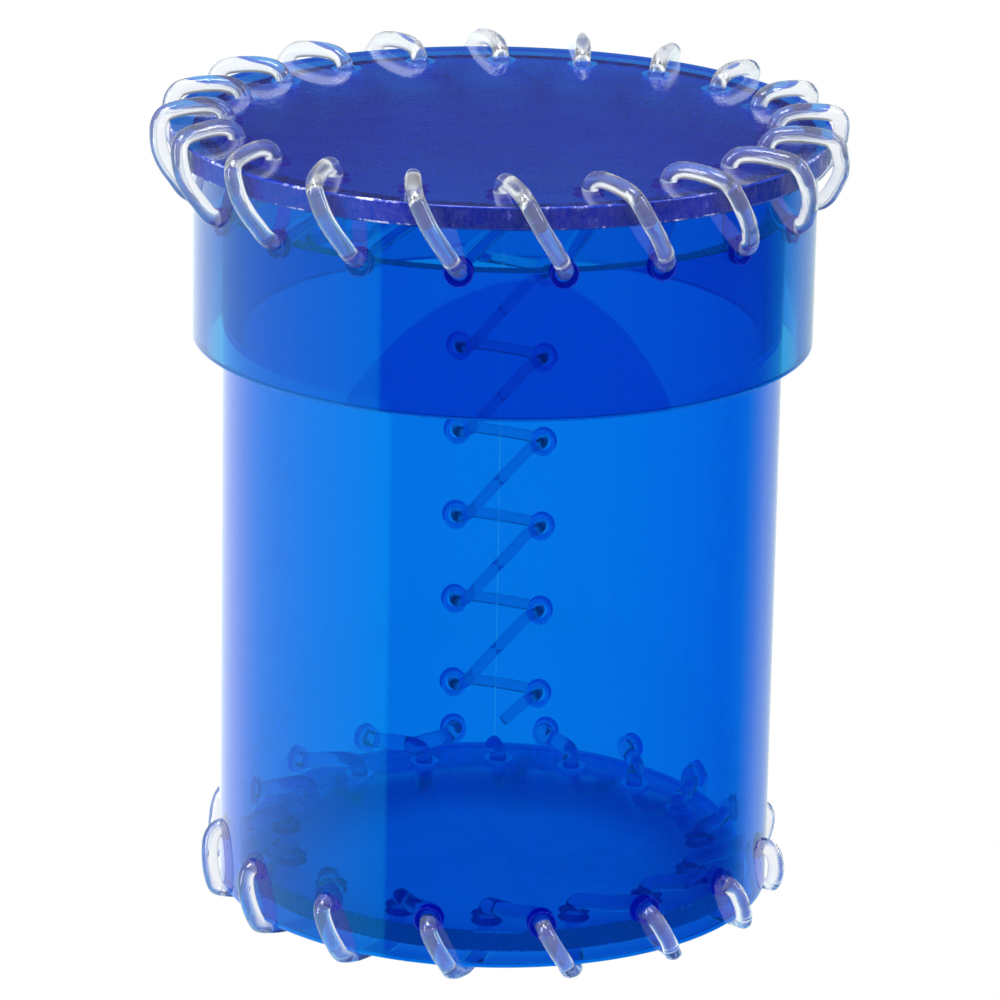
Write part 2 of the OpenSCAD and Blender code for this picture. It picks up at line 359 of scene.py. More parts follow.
def disc_sheet(name, radius, thickness, lay, punches, roughness):
    """A hand-cut round of sheet, laid with its underside's middle at the matrix. Its outline is rough
    by the given amount."""
    snips = 9
    nicks = 90

    def place(u, v, depth):
        return lay @ Vector((u, v, thickness - depth))

    def wobble(point, depth):
        turn = math.atan2(point.y, point.x)
        coarse = noise.noise(Vector((snips * math.cos(turn), snips * math.sin(turn), 40 + radius)))
        fine = noise.noise(Vector((nicks * math.cos(turn), nicks * math.sin(turn), depth / MM)))
        return roughness * (0.6 * coarse + 0.4 * fine - 0.6)

    holes = [punched_loop(spot, PUNCH_R) for spot in punches]
    step = 2.5 * MM
    rings = int(radius / step)
    fill = [Vector((0, 0))]
    for ring in range(1, rings + 1):
        reach = (radius - step) * ring / rings
        sides = 6 * ring
        for i in range(sides):
            turn = 2 * math.pi * (i + 0.5 * (ring % 2)) / sides
            fill.append(Vector((reach * math.cos(turn), reach * math.sin(turn))))
    return sheet_object(name, round_loop(radius), holes, fill, thickness, DISC_BEVEL, place, wobble)


# ---------------------------------------------------------------- cords
# Regions of a cord: in the open, and behind or inside a sheet, which takes a painted shaded copy of the
# cord's material.
OPEN, COVERED = range(2)


def catmull(a, b, c, d, t):
    """Point between b and c on a Catmull-Rom curve through four points."""
    return 0.5 * (2 * b + (c - a) * t + (2 * a - 5 * b + 4 * c - d) * t * t
                  + (3 * b - a - 3 * c + d) * t * t * t)


def smooth_route(route, step, rounds):
    """Evenly spaced points on a smooth line through the route's points."""
    ends = [2 * route[0] - route[1]] + route + [2 * route[-1] - route[-2]]
    line = []
    for i in range(1, len(ends) - 2):
        parts = max(1, round((ends[i + 1] - ends[i]).length / step))
        line += [catmull(*ends[i - 1:i + 3], k / parts) for k in range(parts)]
    line.append(route[-1])
    for _ in range(rounds):
        middle = [(line[i - 1] + 2 * line[i] + line[i + 1]) / 4 for i in range(1, len(line) - 1)]
        line = [line[0]] + middle + [line[-1]]
    return line


def pressed(offset, centre, way, radius):
    """Point of a cord's skin. A cord that lies lower than its own radius is pressed flat and wider."""
    kept = min(1.0, centre.z / radius)
    if kept == 1.0:
        return centre + offset
    spread = 0.3
    aside = way.cross(Vector((0, 0, 1))).normalized()
    upward = aside.cross(way)
    flatter = (1 - kept) * offset.dot(upward) * upward
    wider = spread * (1 - kept) * offset.dot(aside) * aside
    return centre + offset - flatter + wider


def cord_object(name, route, radius, covered, sides=20, step=0.35 * MM, rounds=3):
    """A round cord with slightly domed, cut ends, without twist along its length. covered(place) says
    where it is behind or inside a sheet."""
    line = smooth_route(route, step, rounds)
    legs = [(b - a).normalized() for a, b in zip(line, line[1:])]
    ways = [legs[0]] + [(a + b).normalized() for a, b in zip(legs, legs[1:])] + [legs[-1]]
    across = ways[0].orthogonal().normalized()
    rings = []
    for centre, way in zip(line, ways):
        across = (across - across.dot(way) * way).normalized()
        rings.append((centre, way, across))
    # The cut ends: rings as (share of the radius, rise as a share of the radius)
    dome = [(0.0, 0.18), (0.55, 0.16), (0.85, 0.1), (0.97, 0.04)]
    first = [(rings[0][0] - rise * radius * ways[0], ways[0], rings[0][2], share)
             for share, rise in dome]
    body = [(centre, way, side, 1.0) for centre, way, side in rings]
    last = [(rings[-1][0] + rise * radius * ways[-1], ways[-1], rings[-1][2], share)
            for share, rise in reversed(dome)]
    skin = first[1:] + body + last[:-1]
    places = []
    for centre, way, side, share in skin:
        other = way.cross(side)
        for i in range(sides):
            turn = 2 * math.pi * i / sides
            offset = radius * share * (math.cos(turn) * side + math.sin(turn) * other)
            places.append(pressed(offset, centre, way, radius))
    polygons = []
    regions = []
    for n in range(len(skin) - 1):
        region = COVERED if covered(skin[n][0]) else OPEN
        for i in range(sides):
            j = (i + 1) % sides
            a, b = n * sides, (n + 1) * sides
            polygons.append((a + i, a + j, b + j, b + i))
            regions.append(region)
    tip, tail = len(places), len(places) + 1
    places += [first[0][0], last[-1][0]]
    base = (len(skin) - 1) * sides
    polygons += [(tip, (i + 1) % sides, i) for i in range(sides)]
    polygons += [(tail, base + i, base + (i + 1) % sides) for i in range(sides)]
    regions += [COVERED] * (2 * sides)
    return mesh_object(name, places, polygons, None, regions)


def behind(radius, top):
    """Says whether a place is within a sheet tube's radius and below a height."""
    return lambda place: place.to_2d().length < radius and place.z < top


def base_lace_route():
    """[radius, height, part of a pitch, share of the base's lift]: out of the wall's hole, down the
    outside, under the edge, up through the base disc, and inside to the next hole of the wall."""
    stitch = [
        (WALL_IN - 0.3 * MM, BASE_HOLE_Z + 0.3 * MM, 0, 1),
        (WALL_R - 0.6 * MM, BASE_HOLE_Z + 0.1 * MM, 0, 1),
        (WALL_R + 0.6 * MM, BASE_HOLE_Z - 0.3 * MM, 0.01, 1),
        (WALL_R + 1.4 * MM, BASE_HOLE_Z - 1.3 * MM, 0.03, 0.8),
        (WALL_R + 1.7 * MM, BASE_HOLE_Z - 2.7 * MM, 0.07, 0.6),
        (WALL_R + 1.75 * MM, WALL_Z + 2.9 * MM, 0.12, 0.3),
        (WALL_R + 1.6 * MM, WALL_Z + 1.3 * MM, 0.17, 0),
        (WALL_R + 1.25 * MM, WALL_Z, 0.21, 0),
        (WALL_R + 0.8 * MM, CORD_REST + 0.18 * MM, 0.25, 0),
        (WALL_R - 0.5 * MM, CORD_REST + 0.01 * MM, 0.287, 0),
        (WALL_R - 1 * MM, CORD_REST, 0.302, 0),
        (WALL_IN - 0.8 * MM, CORD_REST, 0.34, 0),
        (WALL_IN - 1.4 * MM, CORD_REST + 0.01 * MM, 0.356, 0),
        (WALL_IN - 2.8 * MM, CORD_R * 0.75, 0.4, 0),
        (BASE_HOLE_R + 1.7 * MM, CORD_R + 0.03 * MM, 0.45, 0),
        (BASE_HOLE_R + 0.3 * MM, BASE_Z - 1.5 * MM, 0.48, 0.8),
        (BASE_HOLE_R, BASE_Z + 0.4 * MM, 0.5, 1),
        (BASE_HOLE_R, BASE_TOP + 0.5 * MM, 0.5, 1),
        (BASE_HOLE_R + 0.4 * MM, BASE_TOP + 1.3 * MM, 0.52, 1),
        (BASE_HOLE_R + 1.6 * MM, BASE_TOP + 1.75 * MM, 0.58, 1),
        (WALL_IN - 2.6 * MM, BASE_TOP + 1.8 * MM, 0.8, 1),
        (WALL_IN - 1.6 * MM, BASE_HOLE_Z + 0.3 * MM, 0.95, 1)]
    tail = [
        (WALL_IN - 3.9 * MM, BASE_TOP + 1.3 * MM, 0.62, 1),
        (WALL_IN - 3.4 * MM, BASE_TOP + 1.3 * MM, 0.48, 1),
        (WALL_IN - 2.6 * MM, BASE_TOP + 1.4 * MM, 0.3, 1),
        (WALL_IN - 1.9 * MM, BASE_TOP + 1.6 * MM, 0.12, 1)]
    start = 8
    route = [(r, z, start + part, share) for r, z, part, share in tail]
    route += stitches(stitch, start, BASE_STITCHES)
    return [polar(r, base_bearing(u), z + share * base_lift(r, base_bearing(u)))
            for r, z, u, share in route]


def stitches(stitch, start, number):
    """The stitch repeated along the row. The last one ends short, clear of the lace's start."""
    last_end = 0.8
    route = []
    for k in range(number):
        for point in stitch:
            if k < number - 1 or point[2] < last_end:
                route.append((point[0], point[1], start + k + point[2]) + tuple(point[3:]))
    return route


def lid_lace_route():
    """[radius, height, part of a pitch, share of the band's bearing]: up through the disc, over its
    edge, in through the band, and inside up to the next hole."""
    stitch = [
        (DISC_HOLE_R, DISC_Z - 0.9 * MM, 0, 0),
        (DISC_HOLE_R + 0.1 * MM, DISC_TOP - 0.4 * MM, 0, 0),
        (DISC_HOLE_R + 0.5 * MM, DISC_TOP + 0.7 * MM, 0.01, 0),
        (DISC_HOLE_R + 1.4 * MM, DISC_TOP + 1.6 * MM, 0.03, 0),
        (DISC_HOLE_R + 3 * MM, DISC_TOP + 2 * MM, 0.07, 0),
        (DISC_R - 3.4 * MM, DISC_TOP + 2 * MM, 0.12, 0),
        (DISC_R - 1.3 * MM, DISC_TOP + 1.75 * MM, 0.17, 0),
        (DISC_R + 0.5 * MM, DISC_TOP + 1.25 * MM, 0.215, 0),
        (DISC_R + 1.35 * MM, DISC_TOP + 0.15 * MM, 0.26, 0),
        (DISC_R + 1.55 * MM, DISC_TOP - 1.3 * MM, 0.31, 0.05),
        (DISC_R + 1.5 * MM, DISC_Z + 0.4 * MM, 0.36, 0.15),
        (DISC_R + 1.2 * MM, DISC_Z - 1 * MM, 0.41, 0.3),
        (DISC_R + 0.5 * MM, DISC_Z - 2.6 * MM, 0.46, 0.5),
        (BAND_R + 2.2 * MM, BAND_HOLE_Z + 2.6 * MM, 0.505, 0.8),
        (BAND_R + 1.4 * MM, BAND_HOLE_Z + 1.3 * MM, 0.54, 0.95),
        (BAND_R + 0.3 * MM, BAND_HOLE_Z + 0.45 * MM, 0.56, 1),
        (BAND_IN + 0.6 * MM, BAND_HOLE_Z + 0.3 * MM, 0.565, 1),
        (BAND_IN - 0.7 * MM, BAND_HOLE_Z + 0.6 * MM, 0.57, 1),
        (BAND_IN - 1.7 * MM, BAND_HOLE_Z + 1.6 * MM, 0.61, 1),
        (BAND_IN - 2.3 * MM, BAND_HOLE_Z + 3.2 * MM, 0.75, 0.6),
        (DISC_HOLE_R + 0.6 * MM, DISC_Z - 2.2 * MM, 0.9, 0.2)]
    tail = [
        (DISC_HOLE_R - 5.5 * MM, DISC_Z - 1.5 * MM, -0.2, 0),
        (DISC_HOLE_R - 2.6 * MM, DISC_Z - 1.6 * MM, -0.1, 0),
        (DISC_HOLE_R - 0.8 * MM, DISC_Z - 1.5 * MM, -0.02, 0)]
    start = 11
    route = [(r, z, start + part, share) for r, z, part, share in tail]
    route += stitches(stitch, start, LID_STITCHES)
    places = []
    for r, z, u, share in route:
        even = disc_bearing(u)
        bearing = even + share * BAND_DRIFT * math.sin(math.radians(even))
        places.append(polar(r, bearing, z) + Vector(((1 - share) * DISC_X, 0, 0)))
    return places


def seam_lace_route(seam):
    """Zigzag of a seam: a crossing pass outside at each pair, a slanting pass inside to the next."""
    out = seam.r_out + SLIP + SEAM_CORD_R
    inn = seam.r_in - SLIP - SEAM_CORD_R
    bend = 0.5 * MM
    edge = seam.half - math.degrees(1.3 * MM / out)
    slant = seam.pitch - seam.drop
    top = seam.z + (seam.pairs - 1) * seam.pitch
    route = [(inn, seam.half * 0.35, top + slant * 0.3), (inn, edge, top + 0.4 * MM)]
    for k in reversed(range(seam.pairs)):
        high = seam.z + k * seam.pitch
        low = high - seam.drop
        turn = seam.half - 0.3
        route += [(inn + bend, turn, high), (out - bend, turn, high)]
        for s in (1, 0.5, 0, -0.5, -1):
            route.append((out, s * edge, high - seam.drop * (1 - s) / 2))
        route += [(out - bend, -turn, low), (inn + bend, -turn, low)]
        if k > 0:
            for s in (-0.9, -0.45, 0, 0.45, 0.9):
                route.append((inn, s * edge, low - slant * (1 + s) / 2))
    low = seam.z - seam.drop
    route += [(inn, -edge, low - 0.3 * MM), (inn, -edge * 0.25, low - 4 * MM)]
    return [polar(radius, seam.at + side, z) for radius, side, z in route]


# ---------------------------------------------------------------- materials
class Nodes:
    """A small helper for one node tree."""

    def __init__(self, owner):
        owner.use_nodes = True
        self.tree = owner.node_tree
        self.tree.nodes.clear()

    def add(self, kind, settings=None, **inputs):
        """A new node. An input takes a number, a colour or another node's output."""
        node = self.tree.nodes.new(kind)
        for key, value in (settings or {}).items():
            setattr(node, key, value)
        for key, value in inputs.items():
            self.set(node, key.replace("_", " "), value)
        return node

    def set(self, node, key, value):
        socket = node.inputs[int(key)] if key.isdigit() else node.inputs[key]
        if isinstance(value, bpy.types.NodeSocket):
            self.tree.links.new(value, socket)
        else:
            socket.default_value = value

    def math(self, operation, first, second=0.0, third=0.0):
        node = self.add("ShaderNodeMath", {"operation": operation})
        for i, value in enumerate((first, second, third)):
            self.set(node, str(i), value)
        return node.outputs[0]

    def ramp(self, value, low, high, start=0.0, end=1.0):
        """Smooth step of value from low to high."""
        node = self.add("ShaderNodeMapRange", {"interpolation_type": "SMOOTHSTEP"})
        for i, number in enumerate((value, low, high, start, end)):
            self.set(node, str(i), number)
        return node.outputs[0]

    def noise(self, vector, scale, detail=3.0, roughness=0.5, distortion=0.0):
        node = self.add("ShaderNodeTexNoise", Scale=scale, Detail=detail, Roughness=roughness,
                        Distortion=distortion)
        self.set(node, "Vector", vector)
        return node.outputs[0]

    def stretched(self, vector, scale):
        """Coordinates scaled along each axis: the larger the scale, the finer the pattern."""
        return self.add("ShaderNodeMapping", Vector=vector, Scale=scale).outputs[0]

    def mix(self, share, first, second):
        """Colour between first and second."""
        node = self.add("ShaderNodeMix", {"data_type": "RGBA"})
        for key, value in ((0, share), (6, first), (7, second)):
            self.set(node, str(key), value)
        return node.outputs[2]

    def blend(self, share, first, second):
        """Number between first and second."""
        node = self.add("ShaderNodeMix", {"data_type": "FLOAT"})
        for key, value in ((0, share), (2, first), (3, second)):
            self.set(node, str(key), value)
        return node.outputs[0]

    def stops(self, value, colours):
        """Colour ramp: colours holds (place, colour) pairs."""
        node = self.add("ShaderNodeValToRGB", Fac=value)
        ramp = node.color_ramp
        for (place, colour), element in zip(colours, list(ramp.elements)):
            element.position, element.color = place, colour
        for place, colour in colours[2:]:
            ramp.elements.new(place).color = colour
        return node.outputs[0]

    def object_place(self):
        return self.add("ShaderNodeTexCoord").outputs["Object"]


# Absorption of the sheets, per metre: DENSITY times what each tint is short of white
DENSITY = 1300.0
WALL_TINT = (0.0, 0.775, 0.974, 1)
BASE_TINT = (0.0, 0.83, 0.97, 1)
BAND_TINT = (0.0, 0.725, 0.935, 1)
DISC_TINT = (0.0, 0.8, 0.985, 1)
WHITE = (1, 1, 1, 1)

# Index of refraction of the sheets
SHEET_BEND = 1.5


def finish_glass(nodes, tint, **inputs):
    """Clear plastic, coloured by what it absorbs. inputs go to the surface shader."""
    shader = nodes.add("ShaderNodeBsdfPrincipled", **inputs)
    volume = nodes.add("ShaderNodeVolumeAbsorption", Color=tint, Density=DENSITY)
    nodes.add("ShaderNodeOutputMaterial", Surface=shader.outputs[0], Volume=volume.outputs[0])


def new_material(name):
    material = bpy.data.materials.new(name)
    return material, Nodes(material)


def is_region(nodes, number):
    """1 on one region of a piece, 0 elsewhere."""
    region = nodes.add("ShaderNodeAttribute", {"attribute_name": "region"}).outputs["Fac"]
    return nodes.math("COMPARE", region, number, 0.5)


def sheet_material(name, tint, wave, face_rough, under_rough, colour=None, clear=1.0):
    """Glossy coloured sheet with faint waves, fine roll lines and small scuffs. wave is in
    millimetres, and colour(nodes, place) paints its outer face: handling marks, or a painted contact
    shade."""
    material, nodes = new_material(name)
    place = nodes.object_place()
    waves = nodes.noise(nodes.stretched(place, (45, 45, 25)), 1.0, 1.0)
    lines = nodes.noise(nodes.stretched(place, (700, 700, 25)), 1.0, 2.0)
    scuffs = nodes.noise(nodes.stretched(place, (900, 900, 260)), 1.0, 4.0, 0.6)
    patches = nodes.noise(place, 60.0, 2.0)
    wear = nodes.math("MULTIPLY", scuffs, patches)
    outer_rough = nodes.ramp(wear, 0.2, 0.5, *face_rough)
    inner_rough = nodes.ramp(wear, 0.2, 0.5, *under_rough)
    rough = nodes.blend(is_region(nodes, UNDERSIDE), outer_rough, inner_rough)
    height = nodes.math("MULTIPLY_ADD", lines, 0.02, waves)
    bump = nodes.add("ShaderNodeBump", Strength=1.0, Distance=wave * MM, Height=height)
    paint = WHITE
    if colour:
        paint = nodes.mix(is_region(nodes, FACE), WHITE, colour(nodes, place))
    finish_glass(nodes, tint, Base_Color=paint, Roughness=rough, IOR=SHEET_BEND,
                 Transmission_Weight=clear, Normal=bump.outputs[0])
    return material


def cut_material(name, glow):
    """Cut edges and punched rims: too rough to see into. They look deep blue, with drag marks, and
    the scraped corners of an edge are pale. They carry a painted glow, an emission standing in for
    light that runs along inside the sheet; glow is its strength where the edge is seen from outside."""
    material, nodes = new_material(name)
    place = nodes.object_place()
    chips = nodes.noise(nodes.stretched(place, (1100, 1100, 700)), 1.0, 4.0, 0.7)
    drags = nodes.noise(nodes.stretched(place, (350, 350, 1800)), 1.0, 3.0)
    clouds = nodes.noise(place, 90.0, 2.0)
    edge = nodes.mix(nodes.ramp(clouds, 0.35, 0.65), (0.001, 0.004, 0.15, 1), (0.01, 0.012, 0.25, 1))
    edge = nodes.mix(nodes.ramp(chips, 0.6, 0.8), edge, (0.12, 0.13, 0.6, 1))
    # The rims' dark blue is partly the cut sheet's own deep blue and partly painted shade inside the
    # holes.
    rim = nodes.mix(chips, (0.0, 0.01, 0.3, 1), (0.01, 0.06, 0.6, 1))
    scraped = nodes.ramp(nodes.math("MULTIPLY", chips, clouds), 0.28, 0.4)
    bevel = nodes.mix(scraped, (0.004, 0.02, 0.3, 1), (0.5, 0.52, 0.8, 1))
    paint = nodes.mix(is_region(nodes, RIM), nodes.mix(is_region(nodes, BEVEL), edge, bevel), rim)
    rough = nodes.ramp(chips, 0.35, 0.65, 0.2, 0.5)
    height = nodes.math("ADD", chips, drags)
    bump = nodes.add("ShaderNodeBump", Strength=0.6, Distance=0.1 * MM, Height=height)
    # Painted glow: an emission stands in for the light that runs along inside the sheet and comes out
    # at its cut edge, at full strength where the edge is seen from inside. The rims at the back, which
    # look into the white surroundings, are painted brighter and greener.
    from_inside = nodes.add("ShaderNodeNewGeometry").outputs["Backfacing"]
    depth = nodes.add("ShaderNodeSeparateXYZ", Vector=place).outputs["Y"]
    at_back = nodes.ramp(depth, 0.0, 0.5 * WALL_R)
    rims_painted_glow = nodes.blend(at_back, 0.3, 0.8)
    painted_glow_strength = nodes.blend(is_region(nodes, RIM), nodes.blend(from_inside, glow, 1.0), rims_painted_glow)
    rims_emission_colour = nodes.mix(at_back, (0.0, 0.012, 0.7, 1), (0.0, 0.28, 0.7, 1))
    painted_emission_colour = nodes.mix(is_region(nodes, RIM), (0.0, 0.2, 0.65, 1), rims_emission_colour)
    shader = nodes.add("ShaderNodeBsdfPrincipled", Base_Color=paint, Roughness=rough, IOR=SHEET_BEND,
                       Emission_Color=painted_emission_colour, Emission_Strength=painted_glow_strength,
                       Normal=bump.outputs[0])
    nodes.add("ShaderNodeOutputMaterial", Surface=shader.outputs[0])
    return material


def mottled(nodes, place):
    """Handling marks on a flat disc: cloudy, a little reddish, drawn out along one direction."""
    clouds = nodes.noise(nodes.stretched(place, (60, 130, 60)), 1.0, 4.0, 0.6, 0.4)
    stains = nodes.noise(nodes.stretched(place, (90, 30, 60)), 1.0, 3.0, 0.6, 0.8)
    pale = nodes.mix(nodes.ramp(clouds, 0.35, 0.65), (0.82, 0.84, 0.93, 1), WHITE)
    return nodes.mix(nodes.ramp(stains, 0.55, 0.75, 0.0, 0.5), pale, (1.0, 0.72, 0.85, 1))


def contact_patch(nodes, place):
    """Painted shade: a darker hump on the front of the band, where it clings to the cup. It stands in
    for the inner reflections lost where the sheets touch, and stays on the band when the lid is lifted.
    """
    middle = math.radians(4.7)
    left = math.radians(33.7)
    right = math.radians(27.3)
    peak = 20 * MM
    foot = BAND_Z - 0.5 * MM
    soft = 0.3 * MM
    axes = nodes.add("ShaderNodeSeparateXYZ", Vector=place)
    x, y, z = axes.outputs
    bearing = nodes.math("ARCTAN2", x, nodes.math("MULTIPLY", y, -1.0))
    aside = nodes.math("SUBTRACT", bearing, middle)
    to_left = nodes.math("DIVIDE", aside, -left)
    to_right = nodes.math("DIVIDE", aside, right)
    away = nodes.math("MINIMUM", nodes.math("MAXIMUM", to_left, to_right), 1.0)
    hump = nodes.math("POWER", nodes.math("COSINE", nodes.math("MULTIPLY", away, math.pi / 2)), 0.8)
    ragged = nodes.math("MULTIPLY", nodes.noise(place, 300.0, 3.0), 1 * MM)
    top = nodes.math("MULTIPLY_ADD", hump, peak, nodes.math("ADD", ragged, foot))
    outside = nodes.ramp(nodes.math("SUBTRACT", z, top), -soft, soft)
    # Painted shade colour inside the contact hump.
    return nodes.mix(outside, (0.5, 0.4, 0.84, 1), WHITE)


def cord_material(name, dark, light, clear, bend):
    """Slightly milky round cord with faint draw lines. bend is its index of refraction."""
    material, nodes = new_material(name)
    place = nodes.object_place()
    lines = nodes.noise(place, 500.0, 3.0)
    cloud = nodes.noise(place, 150.0, 2.0)
    rough = nodes.ramp(lines, 0.4, 0.7, 0.08, 0.2)
    bump = nodes.add("ShaderNodeBump", Strength=0.3, Distance=0.05 * MM, Height=lines)
    shader = nodes.add("ShaderNodeBsdfPrincipled", Base_Color=nodes.mix(cloud, dark, light),
                       Roughness=rough, IOR=bend, Transmission_Weight=clear, Normal=bump.outputs[0])
    nodes.add("ShaderNodeOutputMaterial", Surface=shader.outputs[0])
    return material


# ---------------------------------------------------------------- camera, light and floor
SENSOR_WIDTH = 36
LENS = 223.2
CAMERA_AT = Vector((0.14 * MM, -851.6 * MM, 324.25 * MM + WALL_Z))
CAMERA_PITCH = 17.46
CAMERA_ROLL = 1.09


def make_camera():
    """The view of the photograph: a long lens, a little above the lid, rolled by a degree."""
    data = bpy.data.cameras.new("camera")
    data.sensor_width = SENSOR_WIDTH
    data.lens = LENS
    data.clip_start = 0.01
    data.clip_end = 50
    camera = bpy.data.objects.new("camera", data)
    bpy.context.scene.collection.objects.link(camera)
    pitch = math.radians(CAMERA_PITCH)
    roll = math.radians(CAMERA_ROLL)
    ahead = Vector((0, math.cos(pitch), -math.sin(pitch)))
    side = Vector((1, 0, 0))
    up = side.cross(ahead)
    right = math.cos(roll) * side + math.sin(roll) * up
    top = math.cos(roll) * up - math.sin(roll) * side
    turn = Matrix((right, top, -ahead)).transposed().to_4x4()
    camera.matrix_world = Matrix.Translation(CAMERA_AT) @ turn
    bpy.context.scene.camera = camera


def make_floor():
    """A white lit table. Under the cup, for every ray but the camera's own, it has a painted blue
    shadow, lighter in the middle and darker towards the wall; from below it is clear.
    """
    half = 4.0
    corners = [(-half, -half, 0), (half, -half, 0), (half, half, 0), (-half, half, 0)]
    floor = mesh_object("floor", corners, [(0, 1, 2, 3)])
    material, nodes = new_material("white_table")
    place = nodes.object_place()
    length = nodes.add("ShaderNodeVectorMath", {"operation": "LENGTH"})
    nodes.set(length, "0", place)
    away = length.outputs["Value"]
    # Painted blue shadow under the cup: lighter in the middle, darker towards the wall.
    under = nodes.mix(nodes.ramp(away, 0.5 * WALL_R, 0.85 * WALL_R), (0.3, 0.5, 0.92, 1),
                      (0.05, 0.19, 0.65, 1))
    beyond = nodes.ramp(away, 0.95 * WALL_R, 1.04 * WALL_R)
    path = nodes.add("ShaderNodeLightPath")
    lit = nodes.math("MAXIMUM", beyond, path.outputs["Is Camera Ray"])
    shader = nodes.add("ShaderNodeEmission", Color=nodes.mix(lit, under, WHITE))
    clear = nodes.add("ShaderNodeBsdfTransparent")
    from_below = nodes.add("ShaderNodeNewGeometry").outputs["Backfacing"]
    either = nodes.add("ShaderNodeMixShader", Fac=from_below)
    nodes.set(either, "1", shader.outputs[0])
    nodes.set(either, "2", clear.outputs[0])
    nodes.add("ShaderNodeOutputMaterial", Surface=either.outputs[0])
    floor.data.materials.append(material)
    floor.visible_glossy = False


# White of the surroundings, as a share of the brightness of the card at the left
CARD_SHARE = 0.67


def make_world():
    """White surroundings behind the cup. In reflections: dark ahead, a bright card at the left."""
    world = bpy.data.worlds.new("studio")
    bpy.context.scene.world = world
    nodes = Nodes(world)
    direction = nodes.add("ShaderNodeTexCoord").outputs["Generated"]
    axes = nodes.add("ShaderNodeSeparateXYZ", Vector=direction)
    x, y, z = axes.outputs
    bearing = nodes.math("ARCTAN2", x, nodes.math("MULTIPLY", y, -1.0))
    half_turns = nodes.math("DIVIDE", nodes.math("ABSOLUTE", bearing), math.pi)
    left = nodes.stops(half_turns, [
        (0.0, (0.01, 0.01, 0.01, 1)),
        (0.245, (0.01, 0.015, 0.02, 1)),
        (0.255, (0.03, 0.95, 1, 1)),
        (0.44, (0.2, 1, 1, 1)),
        (0.64, (0.47, 1, 1, 1)),
        (0.75, (0.83, 1, 1, 1)),
        (1.0, (0.95, 1, 1, 1))])
    right = nodes.stops(half_turns, [
        (0.0, (0.01, 0.01, 0.01, 1)),
        (0.62, (0.01, 0.05, 0.06, 1)),
        (0.68, (0.02, 0.27, 0.28, 1)),
        (0.79, (0.37, 0.57, 0.57, 1)),
        (1.0, (0.6, 0.66, 0.66, 1))])
    sides = nodes.mix(nodes.ramp(bearing, -0.01, 0.01), left, right)
    above = nodes.ramp(z, 0.0, 0.12)
    overhead = nodes.ramp(half_turns, 0.2, 1.0, 0.01, 0.05)
    studio = nodes.mix(above, sides, nodes.add("ShaderNodeCombineColor", Red=overhead, Green=overhead,
                                               Blue=overhead).outputs[0])
    path = nodes.add("ShaderNodeLightPath")
    deep = nodes.ramp(z, 0.15, 0.5, CARD_SHARE, 0.2 * CARD_SHARE)
    grey = nodes.add("ShaderNodeCombineColor", Red=deep, Green=deep, Blue=deep).outputs[0]
    through = nodes.mix(path.outputs["Is Transmission Ray"], studio, grey)
    white = (CARD_SHARE, CARD_SHARE, CARD_SHARE, 1)
    through = nodes.mix(path.outputs["Is Diffuse Ray"], through, white)
    seen = nodes.mix(path.outputs["Is Camera Ray"], through, white)
    glow = nodes.add("ShaderNodeBackground", Color=seen, Strength=1 / CARD_SHARE)
    nodes.add("ShaderNodeOutputWorld", Surface=glow.outputs[0])


def make_light(name, place, target, size, power):
    """A soft box that is seen only in reflections."""
    data = bpy.data.lights.new(name, "AREA")
    data.shape = "RECTANGLE"
    data.size, data.size_y = size
    data.energy = power
    light = bpy.data.objects.new(name, data)
    bpy.context.scene.collection.objects.link(light)
    light.location = place
    light.rotation_euler = (Vector(target) - Vector(place)).to_track_quat("-Z", "Y").to_euler()
    light.visible_camera = False
    light.visible_transmission = False


def make_studio():
    make_world()
    make_floor()
    middle = (0, 0, 60 * MM)
    make_light("top_box", (-0.1, -0.25, 0.9), middle, (0.5, 0.3), 8)
    make_light("left_strip", (-0.7, -0.35, 0.45), middle, (0.2, 0.6), 5)
    make_light("right_strip", (0.7, -0.2, 0.5), middle, (0.12, 0.5), 3)


def set_colour_and_light_paths():
    """True colours, and enough bounces for light to cross all layers of sheet and cord."""
    scene = bpy.context.scene
    scene.view_settings.view_transform = "Standard"
    scene.cycles.max_bounces = 40
    scene.cycles.transmission_bounces = 40
    scene.cycles.glossy_bounces = 16
    scene.cycles.caustics_reflective = True
    scene.cycles.caustics_refractive = True
    scene.cycles.use_denoising = True


# ---------------------------------------------------------------- the pieces
def give(piece, body, node, slot, material, second, second_regions):
    """Puts a piece on its body, in its node's place. second_regions take the second material."""
    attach(piece, body)
    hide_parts(node)
    piece.data.materials.append(material)
    piece.data.materials.append(second)
    marks = piece.data.attributes["region"].data
    for polygon, mark in zip(piece.data.polygons, marks):
        polygon.material_index = 1 if round(mark.value) in second_regions else 0


